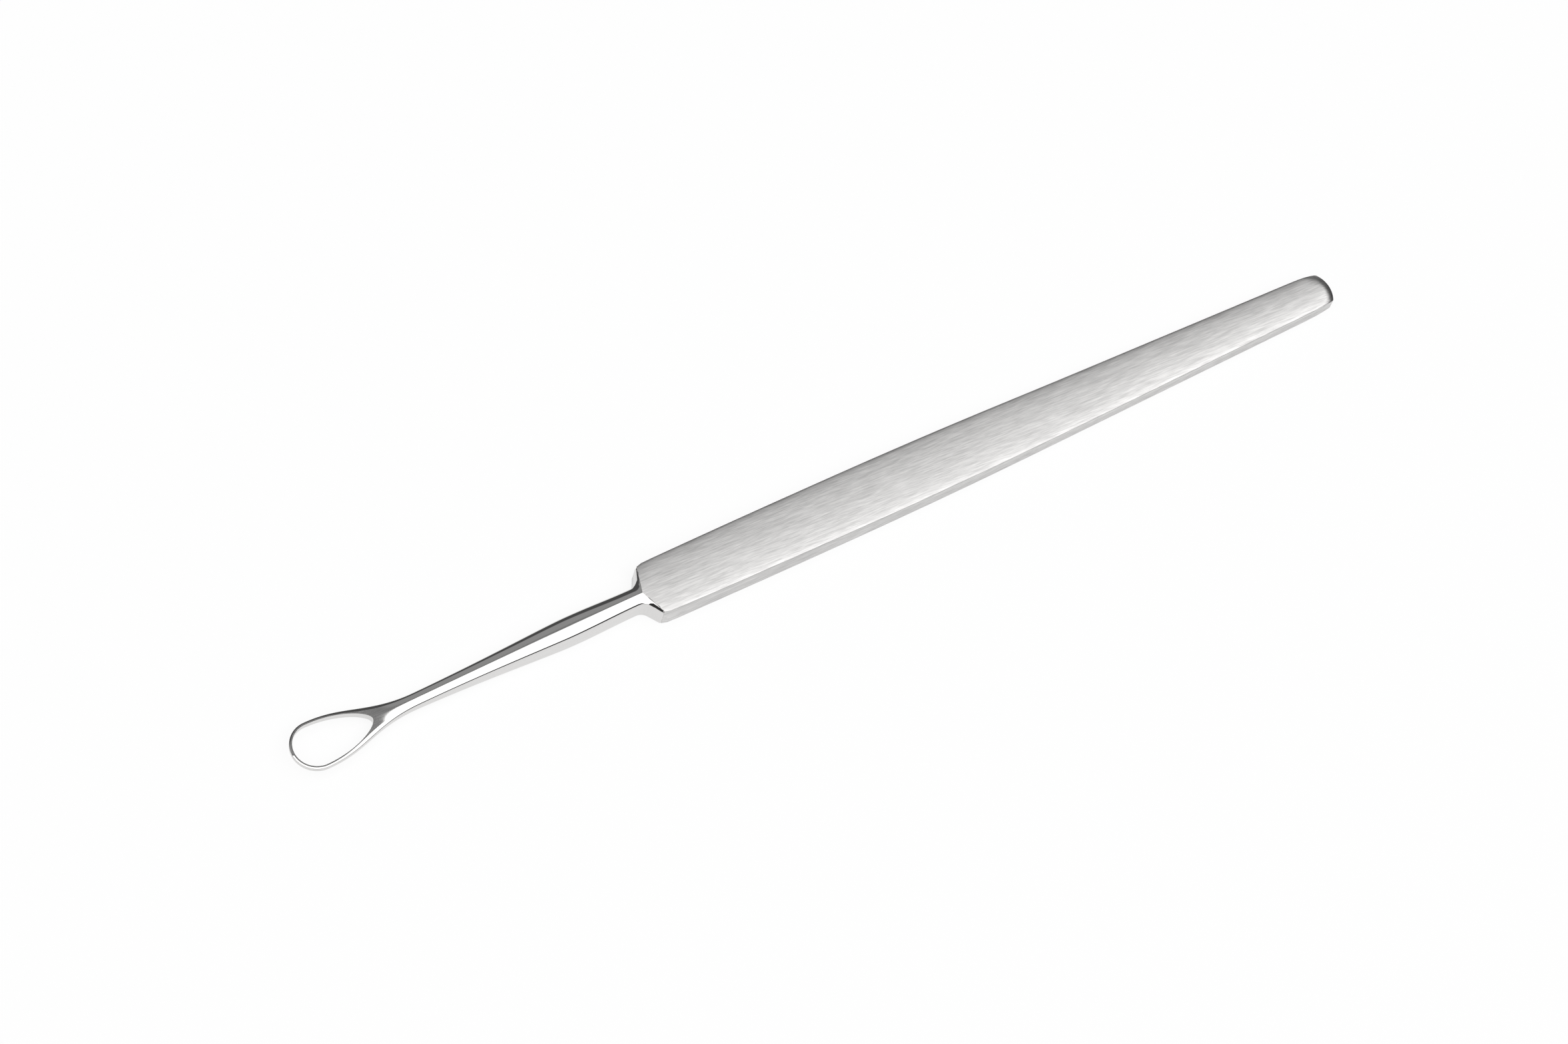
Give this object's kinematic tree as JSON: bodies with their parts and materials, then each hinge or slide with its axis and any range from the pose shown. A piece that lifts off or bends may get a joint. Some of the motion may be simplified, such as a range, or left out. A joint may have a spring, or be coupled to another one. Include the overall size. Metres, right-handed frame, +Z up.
{
  "type": "ear curette",
  "caption": "Slim ear curette with a flat bar handle, a V-shaped step, a slender polished neck and an open teardrop loop.",
  "frame": {"origin": "middle of the bounding box, on the underside of the handle that the tool rests on", "axes": "+X along the tool towards the rounded end of the handle, +Y across the handle, +Z up out of its top face"},
  "size_m": [0.1404, 0.0072, 0.003],
  "materials": {
    "steel": "satin-brushed handle with a mirror-polished neck and loop"
  },
  "bodies": {
    "root": {"curette": "steel"}
  },
  "joints": []
}
